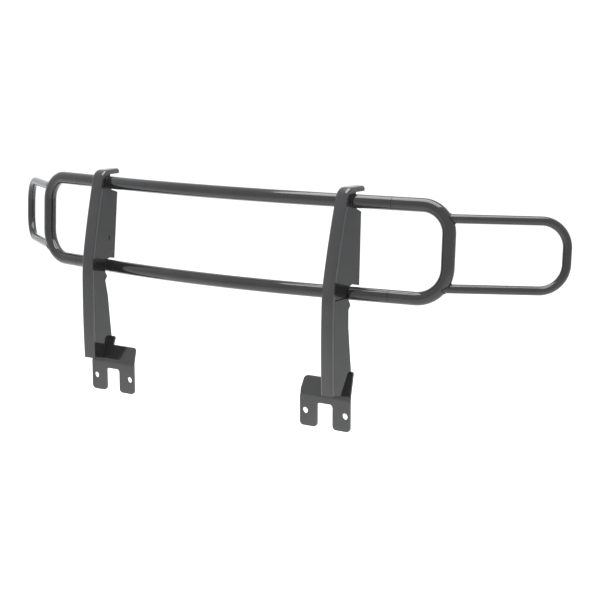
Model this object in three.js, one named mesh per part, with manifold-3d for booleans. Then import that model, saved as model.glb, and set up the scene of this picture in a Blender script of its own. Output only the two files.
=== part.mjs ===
// Front grille guard: a bent tube ring with two rails, a wing loop on each end, and two folded
// uprights that hook over the top rail and carry the mounting brackets.
// Millimetres. +Z up, the front faces -Y, the brackets' rear faces lie on Y = 0.
import * as THREE from 'three';
import { mergeVertices } from 'three/addons/utils/BufferGeometryUtils.js';
import Module from 'manifold-3d';

const wasm = await Module();
wasm.setup();

const degree = Math.PI / 180;
const quarterTurn = 90 * degree;
const gap = 0.3;                       // left between pieces that touch

// Ring of main tube, in a frame that leans back with the grille
const tubeRadius = 19.05;
const tubeWall = 2;
const tubeSides = 16;
const ringLean = 3.1 * degree;
const ringForward = 13;
const ringCentreHeight = 473.1;
const railHalfSpacing = 127.3;
const railArcRadius = 2047;
const railArcHalfWidth = 410;
const railHeading = Math.asin(railArcHalfWidth / railArcRadius);
const railEndX = 715;
const upperCornerRadius = 75;
const lowerCornerRadius = 88;
const railJointDistance = 150;         // from the end of the rolled arc to the butt joint
const weldHalfGap = 2;                 // each tube stops this far from the butt joint's middle

// Wing loops
const wingRadius = 12.7;
const wingSides = 12;
const wingWall = 1.6;
const wingHeading = 35.8 * degree;
const wingHalfSpacing = 94.5;
const wingRaise = 0.5;
const wingCornerRadius = 73;
const wingEndX = 974.8;
const wingEndDepth = 293;
const wingStartX = 702;

// Uprights
const uprightX = 429.4;
const uprightTurnDepth = -50;
const uprightToe = 4 * degree;
const webWidth = 39;
const lipDepth = 14.5;
const sheet = 4;
const wallSheet = 3;
const foldRadius = 8;
const webFootHeight = 69;              // the foot is cut on a slope, higher at the front
const wallFootHeight = 56;
const footDepth = -67.1;
const crownStraight = 12.5;
const hookRadius = 35;
const hookRearDepth = 84;
const platePocketDepth = 8.5;           // front edge of the recessed plate, behind the web's face
const lightHoleRadius = 8;
const lightHoleDepth = 21.5;
const lightHoleHeight = 429.4;

// Mounting brackets
const plateThickness = 6;
const plateInner = 303;
const plateInnerTop = 307;
const plateOuter = 469;
const boltHoleRadius = 9;
const holeSides = 48;
const boltHoleInnerX = 320.7;
const boltHoleOuterX = 452;
const legBottom = -44;
const legCorner = 12;
const notchInner = 360.5;
const notchOuter = 411.5;
const notchTop = 27.5;
const notchCorner = 9;
const bendHeight = 54;
const bendAngle = 21.5 * degree;
const shoulderHeight = 98;
const tabInner = 397;
const tabOuter = 463;
const tabTop = 123;
const tabCorner = 8;

// Weld beads
const beadSize = 3.5;
const roundSteps = 8;                  // segments in a quarter turn of a plate's corner
const bendSteps = 8;                   // sections in a quarter turn of a tube
const mergeDistance = 1e-4;

// How far the cutting solids reach past what they cut
const cutAhead = 20;
const cutBehind = 60;

const blackPaint = { color: 0x08080a, roughness: 0.18, metalness: 0.0 };

// ---------- Sweeps ----------

// A flat centreline of straight runs and arcs. Each station is one section of the sweep.
class BentPath extends THREE.Curve {
  constructor(toSpace, start, heading, moves) {
    super();
    this.points = [];
    this.tangents = [];
    let [a, b] = start;
    let angle = heading;
    const addStation = () => {
      const here = toSpace(a, b);
      const ahead = toSpace(a + Math.cos(angle), b + Math.sin(angle));
      this.points.push(here);
      this.tangents.push(ahead.sub(here).normalize());
    };
    addStation();
    for (const { length = 0, radius = 0, turn = 0, steps = 1 } of moves) {
      for (let step = 0; step < steps; step += 1) {
        const part = turn / steps;
        const chord = turn === 0 ? length / steps : 2 * radius * Math.sin(Math.abs(part) / 2);
        a += chord * Math.cos(angle + part / 2);
        b += chord * Math.sin(angle + part / 2);
        angle += part;
        addStation();
      }
    }
  }

  get steps() {
    return this.points.length - 1;
  }

  getPoint(t, target = new THREE.Vector3()) {
    return target.copy(this.points[Math.round(t * this.steps)]);
  }

  getPointAt(t, target) {
    return this.getPoint(t, target);
  }

  getTangentAt(t, target = new THREE.Vector3()) {
    return target.copy(this.tangents[Math.round(t * this.steps)]);
  }
}

function sweep(section, path, curveSegments = 1) {
  return new THREE.ExtrudeGeometry(section, { steps: path.steps, extrudePath: path, curveSegments });
}

function polygonRing(radius, sides) {
  const corners = [];
  for (let side = 0; side < sides; side += 1) {
    const angle = (2 * Math.PI * side) / sides;
    corners.push(new THREE.Vector2(radius * Math.cos(angle), radius * Math.sin(angle)));
  }
  return corners;
}

function roundBar(path, radius, sides) {
  return sweep(new THREE.Shape(polygonRing(radius, sides)), path);
}

function roundTube(path, radius, wall, sides) {
  const section = new THREE.Shape(polygonRing(radius, sides));
  section.holes.push(new THREE.Path(polygonRing(radius - wall, sides).reverse()));
  return sweep(section, path);
}

// ---------- Solids ----------

function solidOf(geometry) {
  const bare = geometry.clone();
  bare.deleteAttribute('normal');
  bare.deleteAttribute('uv');
  const merged = mergeVertices(bare, mergeDistance);
  const mesh = new wasm.Mesh({
    numProp: 3,
    vertProperties: new Float32Array(merged.attributes.position.array),
    triVerts: new Uint32Array(merged.index.array),
  });
  return new wasm.Manifold(mesh);
}

function geometryOf(solid) {
  const mesh = solid.getMesh();
  const geometry = new THREE.BufferGeometry();
  geometry.setAttribute('position', new THREE.BufferAttribute(new Float32Array(mesh.vertProperties), 3));
  geometry.setIndex(new THREE.BufferAttribute(new Uint32Array(mesh.triVerts), 1));
  geometry.computeVertexNormals();
  return geometry;
}

function moved(geometry, matrix) {
  return geometry.clone().applyMatrix4(matrix);
}

// The same piece on the other side of X = 0, with its triangles turned to keep facing out.
function mirrored(geometry) {
  const copy = geometry.index ? geometry.toNonIndexed() : geometry.clone();
  const { position } = copy.attributes;
  for (let corner = 0; corner < position.count; corner += 3) {
    const second = new THREE.Vector3().fromBufferAttribute(position, corner + 1);
    const third = new THREE.Vector3().fromBufferAttribute(position, corner + 2);
    position.setXYZ(corner + 1, third.x, third.y, third.z);
    position.setXYZ(corner + 2, second.x, second.y, second.z);
  }
  for (let index = 0; index < position.count; index += 1) {
    position.setX(index, -position.getX(index));
  }
  copy.deleteAttribute('normal');
  copy.deleteAttribute('uv');
  const merged = mergeVertices(copy, mergeDistance);
  merged.computeVertexNormals();
  return merged;
}

function block(low, high) {
  const size = new THREE.Vector3().subVectors(high, low);
  const centre = new THREE.Vector3().addVectors(low, high).multiplyScalar(0.5);
  const geometry = new THREE.BoxGeometry(size.x, size.y, size.z);
  return geometry.translate(centre.x, centre.y, centre.z);
}

// An outline drawn in (depth, height), given thickness along X from lowX to highX.
function sidePlate(outline, lowX, highX) {
  const geometry = new THREE.ExtrudeGeometry(outline, {
    depth: highX - lowX,
    bevelEnabled: false,
    curveSegments: roundSteps,
  });
  const axes = new THREE.Matrix4().set(0, 0, 1, lowX, 1, 0, 0, 0, 0, 1, 0, 0, 0, 0, 0, 1);
  return geometry.applyMatrix4(axes);
}

// An outline drawn in (x, height), given thickness along Y from rearY down to frontY.
function frontPlate(outline, frontY, rearY) {
  const geometry = new THREE.ExtrudeGeometry(outline, {
    depth: rearY - frontY,
    bevelEnabled: false,
    curveSegments: roundSteps,
  });
  return geometry.rotateX(quarterTurn).translate(0, rearY, 0);
}

// ---------- Ring frame ----------

const ringFrame = new THREE.Group();
ringFrame.position.set(0, -ringForward, ringCentreHeight);
ringFrame.rotation.x = -ringLean;
ringFrame.updateMatrixWorld(true);

const arcEndDepth = railArcRadius * (1 - Math.cos(railHeading));
const straightLength = (railEndX - railArcHalfWidth) / Math.cos(railHeading);

function railPath(height, trim) {
  const reach = railJointDistance - trim;
  const start = [
    -railArcHalfWidth - reach * Math.cos(railHeading),
    arcEndDepth + reach * Math.sin(railHeading),
  ];
  const toSpace = (x, y) => new THREE.Vector3(x, y, height);
  return new BentPath(toSpace, start, -railHeading, [
    { length: reach },
    { radius: railArcRadius, turn: 2 * railHeading, steps: 16 },
    { length: reach },
  ]);
}

// The U of the ring's end lies in the upright plane through the rail's straight run.
function endPath(trim) {
  const reach = straightLength - railJointDistance - trim;
  const begin = railJointDistance + trim;
  const toSpace = (distance, height) => new THREE.Vector3(
    railArcHalfWidth + distance * Math.cos(railHeading),
    arcEndDepth + distance * Math.sin(railHeading),
    height,
  );
  return new BentPath(toSpace, [begin, railHalfSpacing], 0, [
    { length: reach - upperCornerRadius },
    { radius: upperCornerRadius, turn: -quarterTurn, steps: bendSteps },
    { length: 2 * railHalfSpacing - upperCornerRadius - lowerCornerRadius },
    { radius: lowerCornerRadius, turn: -quarterTurn, steps: bendSteps },
    { length: reach - lowerCornerRadius },
  ]);
}

function wingPath() {
  const armLength = (wingEndX - wingStartX) / Math.cos(wingHeading);
  const startDepth = wingEndDepth - armLength * Math.sin(wingHeading);
  const toSpace = (distance, height) => new THREE.Vector3(
    wingStartX + distance * Math.cos(wingHeading),
    startDepth + distance * Math.sin(wingHeading),
    height,
  );
  const corner = { radius: wingCornerRadius, turn: -quarterTurn, steps: bendSteps };
  return new BentPath(toSpace, [0, wingHalfSpacing + wingRaise], 0, [
    { length: armLength - wingCornerRadius },
    corner,
    { length: 2 * (wingHalfSpacing - wingCornerRadius) },
    corner,
    { length: armLength - wingCornerRadius },
  ]);
}

const endBar = solidOf(roundBar(endPath(0), tubeRadius + gap, tubeSides));
const wingBar = solidOf(roundBar(wingPath(), wingRadius + gap, wingSides));

function wingLoop() {
  const loop = solidOf(roundTube(wingPath(), wingRadius, wingWall, wingSides));
  return geometryOf(loop.subtract(endBar));
}

// A bead around the foot of a wing arm: where two thickened tubes meet, less the tubes themselves.
function wingWeld(isUpper) {
  const fatWing = solidOf(roundBar(wingPath(), wingRadius + beadSize, wingSides));
  const fatEnd = solidOf(roundBar(endPath(0), tubeRadius + beadSize, tubeSides));
  const low = isUpper ? 0 : -2 * railHalfSpacing;
  const high = isUpper ? 2 * railHalfSpacing : 0;
  const side = solidOf(block(
    new THREE.Vector3(railArcHalfWidth, -railEndX, low),
    new THREE.Vector3(2 * railEndX, railEndX, high),
  ));
  return geometryOf(fatWing.intersect(fatEnd).intersect(side).subtract(endBar).subtract(wingBar));
}

// The ground butt weld between a rail and the ring's end, a short sleeve-shaped bead.
function buttWeld(height) {
  const half = weldHalfGap - gap;
  const outer = tubeRadius + gap;
  const inner = tubeRadius - tubeWall;
  const profile = [
    new THREE.Vector2(inner, -half),
    new THREE.Vector2(outer, -half),
    new THREE.Vector2(outer, half),
    new THREE.Vector2(inner, half),
    new THREE.Vector2(inner, -half),
  ];
  const ring = new THREE.LatheGeometry(profile, tubeSides);
  ring.rotateZ(-quarterTurn + railHeading);
  return ring.translate(
    railArcHalfWidth + railJointDistance * Math.cos(railHeading),
    arcEndDepth + railJointDistance * Math.sin(railHeading),
    height,
  );
}

// ---------- Upright frame: u outboard, depth rearward from the turning line, z up ----------

const uprightFrame = new THREE.Group();
uprightFrame.position.set(uprightX, uprightTurnDepth, 0);
uprightFrame.rotation.z = -uprightToe;
uprightFrame.updateMatrixWorld(true);

const ringToUpright = uprightFrame.matrixWorld.clone().invert().multiply(ringFrame.matrixWorld);
const depthOf = (v) => v - uprightTurnDepth;

// Front face of the web, walked from the foot up and over the hook. Headings are from vertical.
const footHeading = -2.4 * degree;
const waistHeading = 2.0 * degree;
const shoulderHeading = 12 * degree;
const crownHeading = 16.7 * degree;
const toUprightSpace = (height, depth) => new THREE.Vector3(0, depth, height);

function facePath(hookEnd) {
  const lower = [
    { radius: 3200, turn: waistHeading - footHeading, steps: 6 },
    { radius: 500, turn: shoulderHeading - waistHeading, steps: 3 },
    { radius: 2500, turn: crownHeading - shoulderHeading, steps: 4 },
    { length: crownStraight },
    { radius: hookRadius, turn: quarterTurn - crownHeading, steps: bendSteps },
  ];
  const start = [webFootHeight, depthOf(footDepth)];
  const bend = new BentPath(toUprightSpace, start, footHeading, lower);
  const last = bend.points[bend.steps];
  const moves = hookEnd ? [...lower, { length: depthOf(hookRearDepth) - last.y }] : lower;
  return new BentPath(toUprightSpace, start, footHeading, moves);
}

function channelSection() {
  const half = webWidth / 2;
  const inside = half - sheet;
  const flat = half - foldRadius;
  const innerFold = foldRadius - sheet;
  const section = new THREE.Shape();
  section.moveTo(-half, -lipDepth);
  section.lineTo(-inside, -lipDepth);
  section.lineTo(-inside, -foldRadius);
  section.absarc(-flat, -foldRadius, innerFold, 2 * quarterTurn, quarterTurn, true);
  section.lineTo(flat, -sheet);
  section.absarc(flat, -foldRadius, innerFold, quarterTurn, 0, true);
  section.lineTo(inside, -lipDepth);
  section.lineTo(half, -lipDepth);
  section.lineTo(half, -foldRadius);
  section.absarc(flat, -foldRadius, foldRadius, 0, quarterTurn, false);
  section.lineTo(-flat, 0);
  section.absarc(-flat, -foldRadius, foldRadius, quarterTurn, 2 * quarterTurn, false);
  return section;
}

function faceChannel() {
  return sweep(channelSection(), facePath(true), 2);
}

// Points this far behind the web's face, from the foot to the end of the hook's bend.
function lineBehindFace(distance) {
  const path = facePath(false);
  return path.points.map((point, index) => {
    const { y, z } = path.tangents[index];
    return new THREE.Vector2(point.y + z * distance, point.z - y * distance);
  });
}

// The rails cross the upright at an angle, so each wall meets them at its own depth.
const railDepthMid = arcEndDepth + (uprightX - railArcHalfWidth) * Math.tan(railHeading) - ringForward;
const railDepthPerU = Math.tan(railHeading + uprightToe);

function railDepth(u, height) {
  return railDepthMid + height * Math.sin(ringLean) + u * railDepthPerU;
}

// Outlines of the walls, as depth and height. The notch round the lower rail is a little larger
// than the tube and stands open behind and below it, with a tooth under the tube.
const upperRailHeight = 597.8;
const lowerRailHeight = 343.5;
const heelHeight = 566;
const veeHeight = 575;
const veeBehindRail = 10;
const notchRadius = 22;
const notchBehindRail = 5;
const notchAboveRail = 2;
const notchLip = { ahead: 18.8, height: 327 };
const tooth = { ahead: 9.7, height: 312.5 };
const toothRoot = { ahead: 19.3, height: 300.3 };
const rearEdge = [
  [12, 251], [15.5, 215], [19.5, 178], [24, 141],
  [25.5, 124], [25.5, 110], [4, wallFootHeight],
];
const splitHeight = 334;
const lapBelowSplit = 8;               // the recessed plate runs on down behind the flush one

// The rear corners of the two tall plates.
const inboardRear = { heel: 73, foot: [49.6, 363] };
const outboardRear = { heel: 75, foot: [68.5, 360] };

function addPoint(shape, [v, z]) {
  shape.lineTo(depthOf(v), z);
}

// Under the hook, round behind the upper rail and down the rear edge to the lower rail.
function addUpperEnd(shape, front, u, rear) {
  const centre = railDepth(u, railHalfSpacing);
  addPoint(shape, [centre + veeBehindRail / 2, front[front.length - 1].y]);
  addPoint(shape, [centre + veeBehindRail / 2, upperRailHeight]);
  addPoint(shape, [centre + veeBehindRail, veeHeight]);
  addPoint(shape, [rear.heel, heelHeight]);
  addPoint(shape, rear.foot);
}

function addNotchArch(shape, u) {
  const centre = depthOf(railDepth(u, -railHalfSpacing) + notchBehindRail);
  const height = lowerRailHeight + notchAboveRail;
  shape.absarc(centre, height, notchRadius, quarterTurn, 2 * quarterTurn, false);
}

function addLowerEnd(shape, u) {
  const centre = railDepth(u, -railHalfSpacing);
  [notchLip, tooth, toothRoot].forEach((corner) => addPoint(shape, [centre - corner.ahead, corner.height]));
  rearEdge.forEach((point) => addPoint(shape, point));
}

// Where a front line crosses a height.
function crossing(front, height) {
  const next = front.findIndex((point) => point.y > height);
  const part = (height - front[next - 1].y) / (front[next].y - front[next - 1].y);
  return front[next - 1].clone().lerp(front[next], part);
}

// The inboard wall is one plate from the foot to the hook.
function inboardOutline(u) {
  const front = lineBehindFace(lipDepth + gap);
  const shape = new THREE.Shape(front);
  addUpperEnd(shape, front, u, inboardRear);
  addNotchArch(shape, u);
  addLowerEnd(shape, u);
  return shape;
}

// The outboard side is two plates: a recessed one above the lower rail and a flush one below.
function outboardUpperOutline(u) {
  const front = lineBehindFace(platePocketDepth);
  const corner = crossing(front, splitHeight - lapBelowSplit);
  const above = front.filter((point) => point.y > corner.y);
  const shape = new THREE.Shape();
  shape.moveTo(depthOf(railDepth(u, -railHalfSpacing) - notchLip.ahead), corner.y);
  shape.lineTo(corner.x, corner.y);
  above.forEach((point) => shape.lineTo(point.x, point.y));
  addUpperEnd(shape, front, u, outboardRear);
  addNotchArch(shape, u);
  return shape;
}

function outboardLowerOutline(u) {
  const front = lineBehindFace(lipDepth + gap);
  const corner = crossing(front, splitHeight - gap);
  const below = front.filter((point) => point.y < corner.y);
  const shape = new THREE.Shape([...below, corner]);
  addPoint(shape, [railDepth(u, -railHalfSpacing) - notchLip.ahead, splitHeight - gap]);
  addLowerEnd(shape, u);
  return shape;
}

function railBar(height) {
  const bar = roundBar(railPath(height, 0), tubeRadius + gap, tubeSides);
  return solidOf(moved(bar, ringToUpright));
}

const upperBar = railBar(railHalfSpacing);
const lowerBar = railBar(-railHalfSpacing);

// Side profile of the bent bracket strip between two offsets from its front face.
function bentStrip(frontOffset, rearOffset, top) {
  const rise = top - bendHeight;
  const shape = new THREE.Shape();
  const lean = Math.tan(bendAngle);
  const halfLean = Math.tan(bendAngle / 2);
  const bottom = legBottom - 1;
  const front = -plateThickness + frontOffset;
  const rear = -plateThickness + rearOffset;
  const frontBend = bendHeight + frontOffset * -halfLean;
  const rearBend = bendHeight + rearOffset * -halfLean;
  shape.moveTo(front, bottom);
  shape.lineTo(rear, bottom);
  shape.lineTo(rear, rearBend);
  shape.lineTo(rear + (rise + bendHeight - rearBend) * lean, top);
  shape.lineTo(front + (rise + bendHeight - frontBend) * lean, top);
  shape.lineTo(front, frontBend);
  return shape;
}

function bracketOutline() {
  const shape = new THREE.Shape();
  const fillet = (x, z, radius, from, turn) => {
    shape.absarc(x, z, radius, from, from + turn, turn < 0);
  };
  shape.moveTo(plateInner, legBottom + legCorner);
  fillet(plateInner + legCorner, legBottom + legCorner, legCorner, 2 * quarterTurn, quarterTurn);
  fillet(notchInner - legCorner, legBottom + legCorner, legCorner, -quarterTurn, quarterTurn);
  fillet(notchInner + notchCorner, notchTop - notchCorner, notchCorner, 2 * quarterTurn, -quarterTurn);
  fillet(notchOuter - notchCorner, notchTop - notchCorner, notchCorner, quarterTurn, -quarterTurn);
  fillet(notchOuter + legCorner, legBottom + legCorner, legCorner, 2 * quarterTurn, quarterTurn);
  fillet(plateOuter - legCorner, legBottom + legCorner, legCorner, -quarterTurn, quarterTurn);
  shape.lineTo(plateOuter, bendHeight);
  fillet(tabOuter - tabCorner, tabTop - tabCorner, tabCorner, 0, quarterTurn);
  fillet(tabInner + tabCorner, tabTop - tabCorner, tabCorner, quarterTurn, quarterTurn);
  shape.lineTo(tabInner, shoulderHeight);
  fillet(plateInnerTop + legCorner, shoulderHeight - legCorner, legCorner, quarterTurn, quarterTurn);
  shape.lineTo(plateInner, bendHeight);
  return shape;
}

function boltHole(x) {
  const hole = new THREE.CylinderGeometry(boltHoleRadius, boltHoleRadius, 4 * plateThickness, holeSides);
  return solidOf(hole.translate(x, 0, 0));
}

function mountingBracket() {
  const strip = solidOf(sidePlate(bentStrip(0, plateThickness, tabTop + 1), plateInner - 1, plateOuter + 1));
  const outline = solidOf(frontPlate(bracketOutline(), -cutAhead, cutBehind));
  const blank = strip.intersect(outline);
  return geometryOf(blank.subtract(boltHole(boltHoleInnerX)).subtract(boltHole(boltHoleOuterX)));
}

// Everything from just in front of the bracket's face rearward, in the upright's frame.
const bracketToUpright = uprightFrame.matrixWorld.clone().invert();
const tabClearance = tabTop + gap;
const bracketSpace = solidOf(moved(
  sidePlate(bentStrip(-gap, cutBehind, tabClearance), plateInner, plateOuter + cutAhead),
  bracketToUpright,
));

function wall(outline, lowU, highU) {
  const plate = solidOf(sidePlate(outline, lowU, highU));
  return plate.subtract(upperBar).subtract(lowerBar).subtract(bracketSpace);
}

const halfWeb = webWidth / 2;
const recess = sheet + gap;

function inboardWall() {
  const plate = wall(inboardOutline(-halfWeb), -halfWeb, -halfWeb + wallSheet);
  const drill = new THREE.CylinderGeometry(lightHoleRadius, lightHoleRadius, 4 * wallSheet, holeSides);
  drill.rotateZ(quarterTurn).translate(-halfWeb, depthOf(lightHoleDepth), lightHoleHeight);
  return geometryOf(plate.subtract(solidOf(drill)));
}

function outboardUpperWall() {
  return geometryOf(wall(outboardUpperOutline(halfWeb), halfWeb - recess - wallSheet, halfWeb - recess));
}

function outboardLowerWall() {
  return geometryOf(wall(outboardLowerOutline(halfWeb), halfWeb - wallSheet, halfWeb));
}

// ---------- Weld beads on the uprights ----------

// A bead round the front of a rail, standing on one wall, from one height to another.
function railWeld(height, wallFace, outward, low, high) {
  const bar = height > 0 ? upperBar : lowerBar;
  const fat = roundBar(railPath(height, 0), tubeRadius + beadSize, tubeSides);
  const near = wallFace + outward * gap;
  const far = wallFace + outward * beadSize;
  const centre = depthOf(railDepth(wallFace, height));
  const window = block(
    new THREE.Vector3(Math.min(near, far), centre - 2 * tubeRadius, low),
    new THREE.Vector3(Math.max(near, far), centre, high),
  );
  return geometryOf(solidOf(moved(fat, ringToUpright)).intersect(solidOf(window)).subtract(bar));
}

const upperWeldSpan = [upperRailHeight - 2 * tubeRadius, upperRailHeight + 0.8 * tubeRadius];
const lowerWeldSpan = [lowerRailHeight - 0.7 * tubeRadius, lowerRailHeight + 0.7 * tubeRadius];

// A bead down the corner between a wall's outer face and the leaning bracket tab.
function footWeld(wallFace, outward) {
  const near = wallFace + outward * gap;
  const far = wallFace + outward * (gap + beadSize);
  const onWall = block(
    new THREE.Vector3(Math.min(near, far), 0, bendHeight + beadSize),
    new THREE.Vector3(Math.max(near, far), cutAhead + 2 * webWidth, tabTop - tabCorner),
  );
  const onBracket = moved(
    sidePlate(bentStrip(-gap - beadSize, -gap, tabTop), plateInner, plateOuter + cutAhead),
    bracketToUpright,
  );
  return geometryOf(solidOf(onWall).intersect(solidOf(onBracket)));
}

// ---------- Assembly ----------

const guard = new THREE.Group();

function addPiece(parent, name, geometry) {
  const mesh = new THREE.Mesh(geometry, new THREE.MeshStandardMaterial(blackPaint));
  mesh.name = name;
  parent.add(mesh);
}

// Adds a piece made for the right-hand side there, and its mirror image on the left.
function addPair(frames, name, geometry) {
  addPiece(frames.right, `${name}_right`, geometry);
  addPiece(frames.left, `${name}_left`, mirrored(geometry));
}

const ring = new THREE.Group();
ring.position.copy(ringFrame.position);
ring.rotation.copy(ringFrame.rotation);
guard.add(ring);

const railTrim = weldHalfGap;
const mainTube = (path) => roundTube(path, tubeRadius, tubeWall, tubeSides);
const ringSides = { right: ring, left: ring };
addPiece(ring, 'upper_rail', mainTube(railPath(railHalfSpacing, railTrim)));
addPiece(ring, 'lower_rail', mainTube(railPath(-railHalfSpacing, railTrim)));
addPair(ringSides, 'ring_end', mainTube(endPath(railTrim)));
addPair(ringSides, 'wing_loop', wingLoop());
addPair(ringSides, 'upper_butt_weld', buttWeld(railHalfSpacing));
addPair(ringSides, 'lower_butt_weld', buttWeld(-railHalfSpacing));
addPair(ringSides, 'upper_wing_weld', wingWeld(true));
addPair(ringSides, 'lower_wing_weld', wingWeld(false));

const uprights = { right: new THREE.Group(), left: new THREE.Group() };
uprights.right.position.copy(uprightFrame.position);
uprights.right.rotation.copy(uprightFrame.rotation);
uprights.left.position.set(-uprightX, uprightTurnDepth, 0);
uprights.left.rotation.z = uprightToe;
guard.add(uprights.right, uprights.left);

addPair(uprights, 'face_channel', faceChannel());
addPair(uprights, 'inboard_wall', inboardWall());
addPair(uprights, 'outboard_upper_wall', outboardUpperWall());
addPair(uprights, 'outboard_lower_wall', outboardLowerWall());

const inboardFace = -halfWeb;
const outboardUpperFace = halfWeb - recess;
const railWelds = [
  ['upper_rail_inboard_weld', railHalfSpacing, inboardFace, -1, ...upperWeldSpan],
  ['upper_rail_outboard_weld', railHalfSpacing, outboardUpperFace, 1, ...upperWeldSpan],
  ['lower_rail_inboard_weld', -railHalfSpacing, inboardFace, -1, ...lowerWeldSpan],
  ['lower_rail_outboard_weld', -railHalfSpacing, halfWeb, 1, ...lowerWeldSpan],
];
railWelds.forEach(([name, ...place]) => addPair(uprights, name, railWeld(...place)));
addPair(uprights, 'inboard_foot_weld', footWeld(inboardFace, -1));
addPair(uprights, 'outboard_foot_weld', footWeld(halfWeb, 1));

addPair({ right: guard, left: guard }, 'mounting_bracket', mountingBracket());

export default guard;
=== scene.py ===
"""Front grille guard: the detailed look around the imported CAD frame. Metres, same frame as the CAD."""
import math

import bmesh
import bpy
from mathutils import Matrix, Vector


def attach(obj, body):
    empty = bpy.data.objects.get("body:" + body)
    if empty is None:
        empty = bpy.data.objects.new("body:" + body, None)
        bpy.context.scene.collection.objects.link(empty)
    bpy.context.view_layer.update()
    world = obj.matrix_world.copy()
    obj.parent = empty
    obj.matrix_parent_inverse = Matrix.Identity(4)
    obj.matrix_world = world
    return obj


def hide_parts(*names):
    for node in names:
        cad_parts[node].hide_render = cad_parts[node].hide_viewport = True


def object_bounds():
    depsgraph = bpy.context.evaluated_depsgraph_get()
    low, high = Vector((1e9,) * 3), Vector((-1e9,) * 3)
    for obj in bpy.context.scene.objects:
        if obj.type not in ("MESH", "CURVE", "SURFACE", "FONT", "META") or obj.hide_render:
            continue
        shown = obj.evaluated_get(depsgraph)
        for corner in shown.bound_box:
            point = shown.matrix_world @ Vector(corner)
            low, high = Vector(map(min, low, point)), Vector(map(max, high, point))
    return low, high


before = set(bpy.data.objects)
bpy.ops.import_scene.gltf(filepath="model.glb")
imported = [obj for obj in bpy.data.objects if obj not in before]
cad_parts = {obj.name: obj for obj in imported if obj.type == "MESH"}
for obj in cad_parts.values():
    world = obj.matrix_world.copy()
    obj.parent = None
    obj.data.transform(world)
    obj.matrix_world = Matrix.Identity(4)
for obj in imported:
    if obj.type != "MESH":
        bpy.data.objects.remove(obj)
cad_low, cad_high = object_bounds()

MM = 0.001
QUARTER = math.pi / 2

# ---------- Driving sizes, in millimetres as in the CAD ----------

TUBE_RADIUS = 19.05
TUBE_WALL = 2.0
RING_LEAN = math.radians(3.1)
RING_FORWARD = 13.0
RING_HEIGHT = 473.1
RAIL_HALF = 127.3
ARC_RADIUS = 2047.0
ARC_HALF_WIDTH = 410.0
RAIL_HEADING = math.asin(ARC_HALF_WIDTH / ARC_RADIUS)
RAIL_END_X = 715.0
UPPER_CORNER = 75.0
LOWER_CORNER = 88.0
JOINT_DISTANCE = 150.0

WING_RADIUS = 12.7
WING_WALL = 1.6
WING_HEADING = math.radians(35.8)
WING_HALF = 94.5
WING_RAISE = 0.5
WING_CORNER = 73.0
WING_END_X = 974.8
WING_END_DEPTH = 293.0
WING_START_X = 702.0

UPRIGHT_X = 429.4
TURN_DEPTH = -50.0
TOE = math.radians(4.0)
WEB_WIDTH = 39.0
LIP_DEPTH = 14.5
SHEET = 4.0
FOLD_RADIUS = 8.0
WEB_FOOT = 69.0
FOOT_DEPTH = -67.1
CROWN_STRAIGHT = 12.5
HOOK_RADIUS = 35.0
HOOK_REAR = 84.0
FACE_HEADINGS = [math.radians(a) for a in (-2.4, 2.0, 12.0, 16.7, 90.0)]
FACE_RADII = [3200.0, 500.0, 2500.0]

PLATE_THICKNESS = 6.0
BEND_HEIGHT = 54.0
BEND_ANGLE = math.radians(21.5)
TAB_TOP = 123.0

TUBE_SIDES = 56
WING_SIDES = 44
EDGE_ROUND = 0.7
GAP = 0.3
BEND_ROUND = 11.0          # how far the bracket's bend is rounded from the crease
PLATE_WIDE = 100.0         # only creases longer than this are bends


# ---------- Frames ----------

RING_FRAME = Matrix.Translation((0, -RING_FORWARD, RING_HEIGHT)) @ Matrix.Rotation(-RING_LEAN, 4, "X")


def upright_frame():
    return Matrix.Translation((UPRIGHT_X, TURN_DEPTH, 0)) @ Matrix.Rotation(-TOE, 4, "Z")


def depth_of(v):
    return v - TURN_DEPTH


# ---------- Centrelines ----------

def walk(start, heading, moves, to_space):
    """Stations (point, tangent) along straight runs and arcs drawn in a plane."""
    a, b = start
    angle = heading
    stations = []

    def add():
        here = to_space(a, b)
        ahead = to_space(a + math.cos(angle), b + math.sin(angle))
        stations.append((here, (ahead - here).normalized()))

    add()
    for length, radius, turn, steps in moves:
        part = turn / steps
        for _ in range(steps):
            chord = 2 * radius * math.sin(abs(part) / 2) if turn else length / steps
            a += chord * math.cos(angle + part / 2)
            b += chord * math.sin(angle + part / 2)
            angle += part
            add()
    return stations


def run(length, steps=1):
    return (length, 0.0, 0.0, steps)


def arc(radius, turn, steps):
    return (0.0, radius, turn, steps)


ARC_DEPTH = ARC_RADIUS * (1 - math.cos(RAIL_HEADING))
STRAIGHT = (RAIL_END_X - ARC_HALF_WIDTH) / math.cos(RAIL_HEADING)


def rail_path(height):
    start = (-ARC_HALF_WIDTH - JOINT_DISTANCE * math.cos(RAIL_HEADING),
             ARC_DEPTH + JOINT_DISTANCE * math.sin(RAIL_HEADING))
    moves = [run(JOINT_DISTANCE, 6), arc(ARC_RADIUS, 2 * RAIL_HEADING, 48), run(JOINT_DISTANCE, 6)]
    return walk(start, -RAIL_HEADING, moves, lambda x, y: Vector((x, y, height)))


def end_path():
    def to_space(distance, height):
        return Vector((ARC_HALF_WIDTH + distance * math.cos(RAIL_HEADING),
                       ARC_DEPTH + distance * math.sin(RAIL_HEADING), height))
    reach = STRAIGHT - JOINT_DISTANCE
    moves = [
        run(reach - UPPER_CORNER, 4),
        arc(UPPER_CORNER, -QUARTER, 28),
        run(2 * RAIL_HALF - UPPER_CORNER - LOWER_CORNER, 5),
        arc(LOWER_CORNER, -QUARTER, 28),
        run(reach - LOWER_CORNER, 4),
    ]
    return walk((JOINT_DISTANCE, RAIL_HALF), 0.0, moves, to_space)


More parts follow.
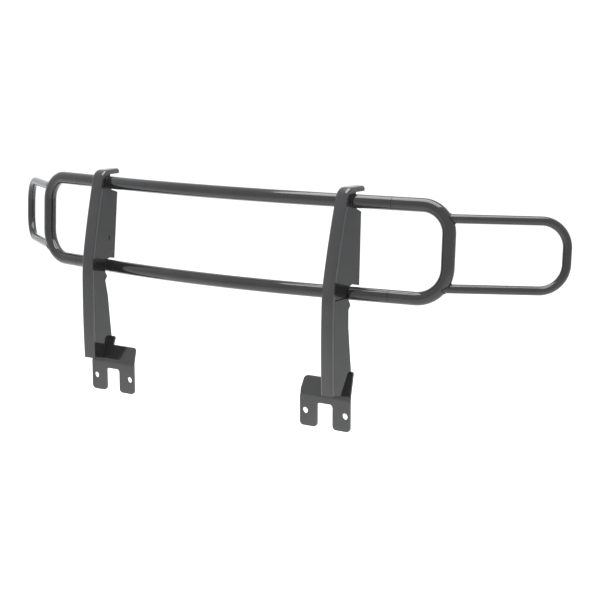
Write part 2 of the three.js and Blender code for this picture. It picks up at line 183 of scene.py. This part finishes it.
def wing_path():
    arm = (WING_END_X - WING_START_X) / math.cos(WING_HEADING)
    start_depth = WING_END_DEPTH - arm * math.sin(WING_HEADING)

    def to_space(distance, height):
        return Vector((WING_START_X + distance * math.cos(WING_HEADING),
                       start_depth + distance * math.sin(WING_HEADING), height))
    moves = [
        run(arm - WING_CORNER, 8),
        arc(WING_CORNER, -QUARTER, 28),
        run(2 * (WING_HALF - WING_CORNER), 3),
        arc(WING_CORNER, -QUARTER, 28),
        run(arm - WING_CORNER, 8),
    ]
    return walk((0.0, WING_HALF + WING_RAISE), 0.0, moves, to_space)


def face_path():
    """The front face of the web, from the foot up and over the hook."""
    headings = FACE_HEADINGS
    moves = [
        arc(FACE_RADII[0], headings[1] - headings[0], 24),
        arc(FACE_RADII[1], headings[2] - headings[1], 12),
        arc(FACE_RADII[2], headings[3] - headings[2], 16),
        run(CROWN_STRAIGHT, 2),
        arc(HOOK_RADIUS, headings[4] - headings[3], 28),
    ]

    def to_space(height, depth):
        return Vector((0, depth, height))
    start = (WEB_FOOT, depth_of(FOOT_DEPTH))
    last = walk(start, headings[0], moves, to_space)[-1][0]
    return walk(start, headings[0], moves + [run(depth_of(HOOK_REAR) - last.y, 6)], to_space)


# ---------- Mesh builders ----------

def new_object(name, mesh):
    obj = bpy.data.objects.new(name, mesh)
    bpy.context.collection.objects.link(obj)
    return obj


def sweep_mesh(name, stations, section, side, closed_ends=False, inner=None):
    """Sweep a closed section (list of (across, outward)) along stations. side is the across axis."""
    mesh = bpy.data.meshes.new(name)
    bm = bmesh.new()

    def ring_at(station, outline):
        point, tangent = station
        across = (side - tangent * side.dot(tangent)).normalized()
        outward = across.cross(tangent).normalized()
        return [bm.verts.new((point + across * x + outward * y) * MM) for x, y in outline]

    def skin(rows, flip):
        for first, second in zip(rows, rows[1:]):
            count = len(first)
            for index in range(count):
                nxt = (index + 1) % count
                corners = [first[index], first[nxt], second[nxt], second[index]]
                bm.faces.new(corners[::-1] if flip else corners)

    outer_rows = [ring_at(station, section) for station in stations]
    skin(outer_rows, False)
    if inner:
        inner_rows = [ring_at(station, inner) for station in stations]
        skin(inner_rows, True)
        for outer, within in ((outer_rows[0], inner_rows[0]), (outer_rows[-1], inner_rows[-1])):
            count = len(outer)
            for index in range(count):
                nxt = (index + 1) % count
                bm.faces.new([outer[index], outer[nxt], within[nxt], within[index]])
    elif closed_ends:
        bm.faces.new(outer_rows[0])
        bm.faces.new(outer_rows[-1])
    bmesh.ops.recalc_face_normals(bm, faces=bm.faces)
    bm.to_mesh(mesh)
    bm.free()
    return new_object(name, mesh)


def circle(radius, sides):
    return [(radius * math.cos(2 * math.pi * i / sides), radius * math.sin(2 * math.pi * i / sides))
            for i in range(sides)]


def tube(name, stations, radius, wall, sides, side=Vector((0, 0, 1))):
    obj = sweep_mesh(name, stations, circle(radius, sides), side, inner=circle(radius - wall, sides))
    smooth(obj)
    return obj


def smooth(obj, angle=40):
    for polygon in obj.data.polygons:
        polygon.use_smooth = True
    obj.data.set_sharp_from_angle(angle=math.radians(angle))


def arc_points(centre, radius, start, end, count):
    return [(centre[0] + radius * math.cos(start + (end - start) * i / count),
             centre[1] + radius * math.sin(start + (end - start) * i / count)) for i in range(count + 1)]


def channel_outline():
    """The folded section: web at y = 0, lips reaching back to -LIP_DEPTH, edges eased."""
    half = WEB_WIDTH / 2
    inside = half - SHEET
    flat = half - FOLD_RADIUS
    inner_fold = FOLD_RADIUS - SHEET
    ease = EDGE_ROUND

    def lip(sign):
        points = [(inside, -LIP_DEPTH + ease), (inside + ease, -LIP_DEPTH),
                  (half - ease, -LIP_DEPTH), (half, -LIP_DEPTH + ease)]
        return [(sign * x, y) for x, y in points]
    outline = arc_points((-flat, -FOLD_RADIUS), inner_fold, math.pi, QUARTER, 4)
    outline += arc_points((flat, -FOLD_RADIUS), inner_fold, QUARTER, 0, 4)
    outline += lip(1)
    outline += arc_points((flat, -FOLD_RADIUS), FOLD_RADIUS, 0, QUARTER, 8)
    outline += arc_points((-flat, -FOLD_RADIUS), FOLD_RADIUS, QUARTER, math.pi, 8)
    outline += lip(-1)[::-1]
    return outline


def channel(name):
    obj = sweep_mesh(name, face_path(), channel_outline(), Vector((1, 0, 0)), closed_ends=True)
    smooth(obj, 30)
    return obj


def soften_bend(bm):
    """Round the crease where a bracket leans back, on both faces."""
    creases = []
    for edge in bm.edges:
        first, second = edge.verts
        level = abs(first.co.z - second.co.z) < 0.1 * MM
        near_bend = abs(first.co.z - BEND_HEIGHT * MM) < PLATE_THICKNESS * MM
        if level and near_bend and edge.calc_length() > PLATE_WIDE * MM:
            creases.append(edge)
    bmesh.ops.bevel(bm, geom=creases, offset=BEND_ROUND * MM, segments=8, profile=0.5,
                    affect="EDGES", clamp_overlap=False)


def plate_from(node):
    """A copy of a flat CAD plate with its edges eased and its flats merged."""
    mesh = frame_object(node).data.copy()
    obj = new_object(f"{node}_plate", mesh)
    bm = bmesh.new()
    bm.from_mesh(mesh)
    bmesh.ops.remove_doubles(bm, verts=bm.verts, dist=0.01 * MM)
    bmesh.ops.dissolve_limit(bm, angle_limit=math.radians(1.0), verts=bm.verts, edges=bm.edges)
    if node.startswith("mounting_bracket"):
        soften_bend(bm)
    bm.to_mesh(mesh)
    bm.free()
    bevel = obj.modifiers.new("ease", "BEVEL")
    bevel.width = EDGE_ROUND * MM
    bevel.segments = 3
    bevel.limit_method = "ANGLE"
    bevel.angle_limit = math.radians(50)
    bevel.harden_normals = False
    smooth(obj, 35)
    return obj


def frame_object(node):
    return bpy.data.objects[node]


def bead(name, points, radius, pitch, ripple=0.14, sides=14):
    """A rippled weld bead along a polyline: overlapping puddles of the given pitch."""
    length = sum((b - a).length for a, b in zip(points, points[1:]))
    count = max(24, int(length / pitch * 8))
    stations = resample(points, count)
    mesh = bpy.data.meshes.new(name)
    bm = bmesh.new()
    rows = []
    for index, (point, tangent, normal) in enumerate(stations):
        distance = length * index / count
        phase = (distance / pitch) % 1.0
        swell = 1 - ripple + ripple * math.sqrt(max(0.0, 1 - (2 * phase - 1) ** 2))
        taper = min(1.0, 0.35 + min(index, count - index) / 6)
        binormal = tangent.cross(normal).normalized()
        row = []
        for x, y in circle(radius * swell * taper, sides):
            row.append(bm.verts.new((point + normal * x + binormal * y) * MM))
        rows.append(row)
    for first, second in zip(rows, rows[1:]):
        for index in range(sides):
            nxt = (index + 1) % sides
            bm.faces.new([first[index], first[nxt], second[nxt], second[index]])
    bm.faces.new(rows[0])
    bm.faces.new(rows[-1])
    bmesh.ops.recalc_face_normals(bm, faces=bm.faces)
    bm.to_mesh(mesh)
    bm.free()
    obj = new_object(name, mesh)
    smooth(obj, 60)
    return obj


def resample(points, count):
    """Even stations (point, tangent, normal) along a polyline, with a steady normal."""
    lengths = [0.0]
    for a, b in zip(points, points[1:]):
        lengths.append(lengths[-1] + (b - a).length)
    total = lengths[-1]
    places = []
    segment = 0
    for index in range(count + 1):
        target = total * index / count
        while segment < len(points) - 2 and lengths[segment + 1] < target:
            segment += 1
        span = lengths[segment + 1] - lengths[segment]
        part = (target - lengths[segment]) / span
        places.append(points[segment].lerp(points[segment + 1], part))
    stations = []
    normal = None
    for index, place in enumerate(places):
        ahead = places[min(index + 1, count)]
        behind = places[max(index - 1, 0)]
        tangent = (ahead - behind).normalized()
        if normal is None:
            normal = tangent.orthogonal().normalized()
        normal = (normal - tangent * normal.dot(tangent)).normalized()
        stations.append((place, tangent, normal))
    return stations


# ---------- Placing pieces ----------

def place(obj, frame_matrix, mirror=False):
    """Bake the piece into the row's frame, mirrored across X = 0 if asked."""
    matrix = frame_matrix.copy()
    matrix.translation = matrix.translation * MM
    if mirror:
        matrix = Matrix.Diagonal((-1, 1, 1, 1)) @ matrix
    obj.data.transform(matrix)
    if mirror:
        obj.data.flip_normals()
    obj.data.update()


def finish_piece(obj, material, slot, *nodes):
    obj.data.materials.clear()
    obj.data.materials.append(material)
    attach(obj, "root")
    if nodes:
        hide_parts(*nodes)


SIDES = (("right", False), ("left", True))


# ---------- Materials ----------

def gloss_black(name, grain_scale, grain_depth, rough_low, rough_high, tint, ior):
    """Gloss black powder coat: near-black with faint flow, fine orange peel and uneven gloss."""
    material = bpy.data.materials.new(name)
    material.use_nodes = True
    nodes = material.node_tree.nodes
    links = material.node_tree.links
    shader = nodes["Principled BSDF"]
    shader.inputs["IOR"].default_value = ior
    shader.inputs["Metallic"].default_value = 0.0
    shader.inputs["Coat Weight"].default_value = 0.0
    place_node = nodes.new("ShaderNodeTexCoord")

    flow = nodes.new("ShaderNodeTexNoise")
    flow.inputs["Scale"].default_value = 14.0
    flow.inputs["Detail"].default_value = 3.0
    links.new(place_node.outputs["Object"], flow.inputs["Vector"])
    colour = nodes.new("ShaderNodeValToRGB")
    colour.color_ramp.elements[0].position = 0.3
    colour.color_ramp.elements[0].color = (tint * 0.8, tint * 0.8, tint * 0.82, 1)
    colour.color_ramp.elements[1].position = 0.7
    colour.color_ramp.elements[1].color = (tint * 1.2, tint * 1.2, tint * 1.24, 1)
    links.new(flow.outputs["Fac"], colour.inputs["Fac"])
    links.new(colour.outputs["Color"], shader.inputs["Base Color"])

    gloss = nodes.new("ShaderNodeMapRange")
    gloss.inputs["To Min"].default_value = rough_low
    gloss.inputs["To Max"].default_value = rough_high
    links.new(flow.outputs["Fac"], gloss.inputs["Value"])
    links.new(gloss.outputs["Result"], shader.inputs["Roughness"])

    peel = nodes.new("ShaderNodeTexNoise")
    peel.inputs["Scale"].default_value = grain_scale
    peel.inputs["Detail"].default_value = 2.0
    links.new(place_node.outputs["Object"], peel.inputs["Vector"])
    bump = nodes.new("ShaderNodeBump")
    bump.inputs["Strength"].default_value = 0.5
    bump.inputs["Distance"].default_value = grain_depth
    links.new(peel.outputs["Fac"], bump.inputs["Height"])
    links.new(bump.outputs["Normal"], shader.inputs["Normal"])
    return material


tube_paint = gloss_black("gloss_black_tube", 260.0, 0.00003, 0.06, 0.11, 0.014, 1.5)
plate_paint = gloss_black("gloss_black_plate", 200.0, 0.00004, 0.09, 0.15, 0.012, 1.42)
# The face copy has a lighter tint and a stronger reflection than the plate copy. This is painted light,
# so the front web and the brackets read brighter than the walls.
lit_face_paint = gloss_black("gloss_black_face_painted_light", 200.0, 0.00004, 0.09, 0.15, 0.016, 1.6)
# The weld beads are real. Their darker tint and weaker reflection are painted shade for the dark joins
# where the tubes meet the walls.
shaded_weld_paint = gloss_black("gloss_black_weld_painted_shade", 420.0, 0.0001, 0.16, 0.28, 0.008, 1.33)


# ---------- Ring, rails and wings ----------

for level, height in (("upper", RAIL_HALF), ("lower", -RAIL_HALF)):
    rail = tube(f"{level}_rail_tube", rail_path(height), TUBE_RADIUS, TUBE_WALL, TUBE_SIDES)
    place(rail, RING_FRAME)
    finish_piece(rail, tube_paint, "painted_tube", f"{level}_rail")

for side_name, is_left in SIDES:
    ring_end = tube(f"ring_end_{side_name}_tube", end_path(), TUBE_RADIUS, TUBE_WALL, TUBE_SIDES,
                    side=Vector((-math.sin(RAIL_HEADING), math.cos(RAIL_HEADING), 0)))
    place(ring_end, RING_FRAME, is_left)
    finish_piece(ring_end, tube_paint, "painted_tube", f"ring_end_{side_name}")
    wing = tube(f"wing_loop_{side_name}_tube", wing_path(), WING_RADIUS, WING_WALL, WING_SIDES,
                side=Vector((-math.sin(WING_HEADING), math.cos(WING_HEADING), 0)))
    place(wing, RING_FRAME, is_left)
    finish_piece(wing, tube_paint, "painted_tube", f"wing_loop_{side_name}")


# ---------- Uprights and brackets ----------

for side_name, is_left in SIDES:
    face = channel(f"face_channel_{side_name}_folded")
    place(face, upright_frame(), is_left)
    # The channel's front web takes the lighter copy of the paint, as painted light.
    finish_piece(face, lit_face_paint, "painted_plate", f"face_channel_{side_name}")
    for part in ("inboard_wall", "outboard_upper_wall", "outboard_lower_wall", "mounting_bracket"):
        plate = plate_from(f"{part}_{side_name}")
        # The brackets also take the lighter copy, as painted light. The walls keep the plate copy.
        paint = lit_face_paint if part == "mounting_bracket" else plate_paint
        finish_piece(plate, paint, "painted_plate", f"{part}_{side_name}")


# ---------- Weld beads ----------

def circle_bead_points(centre, axis, radius, start, end, count=48):
    """Points round an axis, from one angle to another. Angle 0 is up, a quarter turn is forward."""
    up = (Vector((0, 0, 1)) - axis * axis.z).normalized()
    forward = axis.cross(up).normalized()
    if forward.y > 0:
        forward = -forward
    points = []
    for index in range(count + 1):
        angle = start + (end - start) * index / count
        points.append(centre + up * radius * math.cos(angle) + forward * radius * math.sin(angle))
    return points


def butt_points(height):
    centre = Vector((ARC_HALF_WIDTH + JOINT_DISTANCE * math.cos(RAIL_HEADING),
                     ARC_DEPTH + JOINT_DISTANCE * math.sin(RAIL_HEADING), height))
    axis = Vector((math.cos(RAIL_HEADING), math.sin(RAIL_HEADING), 0))
    return circle_bead_points(centre, axis, TUBE_RADIUS - 0.75, 0, 2 * math.pi, 96)


def saddle_points(height, radius):
    """Where a wing arm's surface runs into the ring end's tube."""
    arm_axis = Vector((math.cos(WING_HEADING), math.sin(WING_HEADING), 0))
    arm = (WING_END_X - WING_START_X) / math.cos(WING_HEADING)
    origin = Vector((WING_START_X, WING_END_DEPTH - arm * math.sin(WING_HEADING), height))
    across = Vector((-math.sin(WING_HEADING), math.cos(WING_HEADING), 0))
    line = end_path()
    points = []
    for index in range(65):
        angle = 2 * math.pi * index / 64
        start = origin + across * radius * math.cos(angle) + Vector((0, 0, radius * math.sin(angle)))
        near, far = 0.0, 120.0
        for _ in range(28):
            middle = (near + far) / 2
            if clearance(start + arm_axis * middle, line) > TUBE_RADIUS:
                far = middle
            else:
                near = middle
        points.append(start + arm_axis * (far + 0.3))
    return points


def clearance(point, line):
    """Distance from a point to a centreline."""
    best = 1e9
    for (a, _), (b, _) in zip(line, line[1:]):
        span = b - a
        part = max(0.0, min(1.0, (point - a).dot(span) / span.length_squared))
        best = min(best, (point - a - span * part).length)
    return best


def rail_crossing(u, height):
    """Centre of a rail, and its direction, at a wall's face in the upright's frame."""
    to_upright = upright_frame().inverted() @ RING_FRAME
    line = [to_upright @ point for point, _ in rail_path(height)]
    for a, b in zip(line, line[1:]):
        if a.x <= u <= b.x:
            part = (u - a.x) / (b.x - a.x)
            return a.lerp(b, part), (b - a).normalized()
    return line[-1], Vector((1, 0, 0))


def on_wall(u, height, start, end, radius):
    """Bead points round a rail, kept in the plane of a wall's face."""
    centre, axis = rail_crossing(u, height)
    points = circle_bead_points(centre, axis, radius, start, end)
    return [p + axis * ((u - p.x) / axis.x) for p in points]


UPPER_WELD = (math.radians(35), math.radians(215))
LOWER_WELD = (math.radians(48), math.radians(128))
HALF = WEB_WIDTH / 2
RECESSED = HALF - SHEET - GAP
WELD_RADIUS = 2.3
SADDLE_BEAD_RADIUS = 2.2
BUTT_BEAD_RADIUS = 1.1
WELD_PITCH = 3.4
BUTT_PITCH = 3.0


def foot_line(u):
    """The corner between a wall's face and the leaning tab, in the row's frame."""
    lean = math.tan(BEND_ANGLE)
    points = []
    for index in range(9):
        height = BEND_HEIGHT + 6 + (TAB_TOP - 14 - BEND_HEIGHT) * index / 8
        y = -PLATE_THICKNESS + (height - BEND_HEIGHT) * lean
        across = math.tan(TOE) * (y - TURN_DEPTH)
        points.append(Vector((UPRIGHT_X + u / math.cos(TOE) + across, y, height)))
    return points


# Every bead gets the darker weld copy of the paint, which is painted shade at the joints.
for side_name, is_left in SIDES:
    for level, height in (("upper", RAIL_HALF), ("lower", -RAIL_HALF)):
        node = f"{level}_butt_weld_{side_name}"
        weld = bead(f"{node}_bead", butt_points(height), BUTT_BEAD_RADIUS, BUTT_PITCH, ripple=0.10)
        place(weld, RING_FRAME, is_left)
        finish_piece(weld, shaded_weld_paint, "weld_bead", node)

        node = f"{level}_wing_weld_{side_name}"
        arm_height = math.copysign(WING_HALF, height) + WING_RAISE
        points = saddle_points(arm_height, WING_RADIUS + 0.4)
        weld = bead(f"{node}_bead", points, SADDLE_BEAD_RADIUS, WELD_PITCH)
        place(weld, RING_FRAME, is_left)
        finish_piece(weld, shaded_weld_paint, "weld_bead", node)

        span = UPPER_WELD if height > 0 else LOWER_WELD
        outer = RECESSED if height > 0 else HALF
        for wall_name, u in (("inboard", -HALF), ("outboard", outer)):
            node = f"{level}_rail_{wall_name}_weld_{side_name}"
            points = on_wall(u + math.copysign(0.4, u), height, *span, TUBE_RADIUS + 0.6)
            weld = bead(f"{node}_bead", points, WELD_RADIUS, WELD_PITCH)
            place(weld, upright_frame(), is_left)
            finish_piece(weld, shaded_weld_paint, "weld_bead", node)

    for wall_name, u in (("inboard", -HALF), ("outboard", HALF)):
        node = f"{wall_name}_foot_weld_{side_name}"
        weld = bead(f"{node}_bead", foot_line(u), WELD_RADIUS, WELD_PITCH)
        place(weld, Matrix.Identity(4), is_left)
        finish_piece(weld, shaded_weld_paint, "weld_bead", node)


# ---------- Floor, light and camera ----------

FLOOR_DROP = 0.42
FLOOR_HALF_WIDTH = 30.0
FLOOR_FRONT = -12.0
FLOOR_BACK = 9.0
COVE_RADIUS = 2.0
WALL_HEIGHT = 7.0
floor_height = cad_low.z - FLOOR_DROP


def pale_sweep():
    """A pale floor that curves up into a backdrop far behind."""
    mesh = bpy.data.meshes.new("pale_floor")
    bm = bmesh.new()
    steps = 8
    profile = [(FLOOR_FRONT, 0.0), (FLOOR_BACK, 0.0)]
    for step in range(1, steps + 1):
        angle = step * QUARTER / steps
        out = COVE_RADIUS * math.sin(angle)
        rise = COVE_RADIUS - COVE_RADIUS * math.cos(angle)
        profile.append((FLOOR_BACK + out, rise))
    profile.append((FLOOR_BACK + COVE_RADIUS, WALL_HEIGHT))
    edges = (-FLOOR_HALF_WIDTH, FLOOR_HALF_WIDTH)
    rows = [[bm.verts.new((x, y, floor_height + z)) for x in edges] for y, z in profile]
    for first, second in zip(rows, rows[1:]):
        bm.faces.new([first[0], first[1], second[1], second[0]])
    bm.to_mesh(mesh)
    bm.free()
    floor = new_object("pale_floor", mesh)
    for polygon in mesh.polygons:
        polygon.use_smooth = True
    material = bpy.data.materials.new("pale_floor")
    material.use_nodes = True
    shader = material.node_tree.nodes["Principled BSDF"]
    shader.inputs["Base Color"].default_value = (0.86, 0.86, 0.86, 1)
    shader.inputs["Roughness"].default_value = 1.0
    shader.inputs["Specular IOR Level"].default_value = 0.0
    shader.inputs["Emission Color"].default_value = (1, 1, 1, 1)
    shader.inputs["Emission Strength"].default_value = 0.16
    mesh.materials.append(material)


def softbox(name, place_at, aim, size, watts):
    light = bpy.data.lights.new(name, "AREA")
    light.shape = "RECTANGLE"
    light.size, light.size_y = size
    light.energy = watts
    obj = bpy.data.objects.new(name, light)
    bpy.context.collection.objects.link(obj)
    obj.location = place_at
    obj.rotation_euler = (Vector(aim) - Vector(place_at)).to_track_quat("-Z", "Y").to_euler()


def studio():
    world = bpy.data.worlds.new("studio")
    bpy.context.scene.world = world
    world.use_nodes = True
    background = world.node_tree.nodes["Background"]
    background.inputs["Color"].default_value = (0.97, 0.98, 1.0, 1)
    background.inputs["Strength"].default_value = 1.1
    softbox("overhead", (0.4, 0.1, 3.4), (0.4, 0.1, 0.3), (3.2, 2.8), 185)


def camera():
    data = bpy.data.cameras.new("camera")
    data.lens = 87.3
    data.sensor_width = 36.0
    obj = bpy.data.objects.new("camera", data)
    bpy.context.collection.objects.link(obj)
    obj.location = (2.4865, -3.3491, 1.0767)
    obj.rotation_euler = (math.radians(79.2), 0.0, math.radians(33.14))
    bpy.context.scene.camera = obj


pale_sweep()
studio()
camera()
bpy.context.scene.view_settings.view_transform = "Standard"
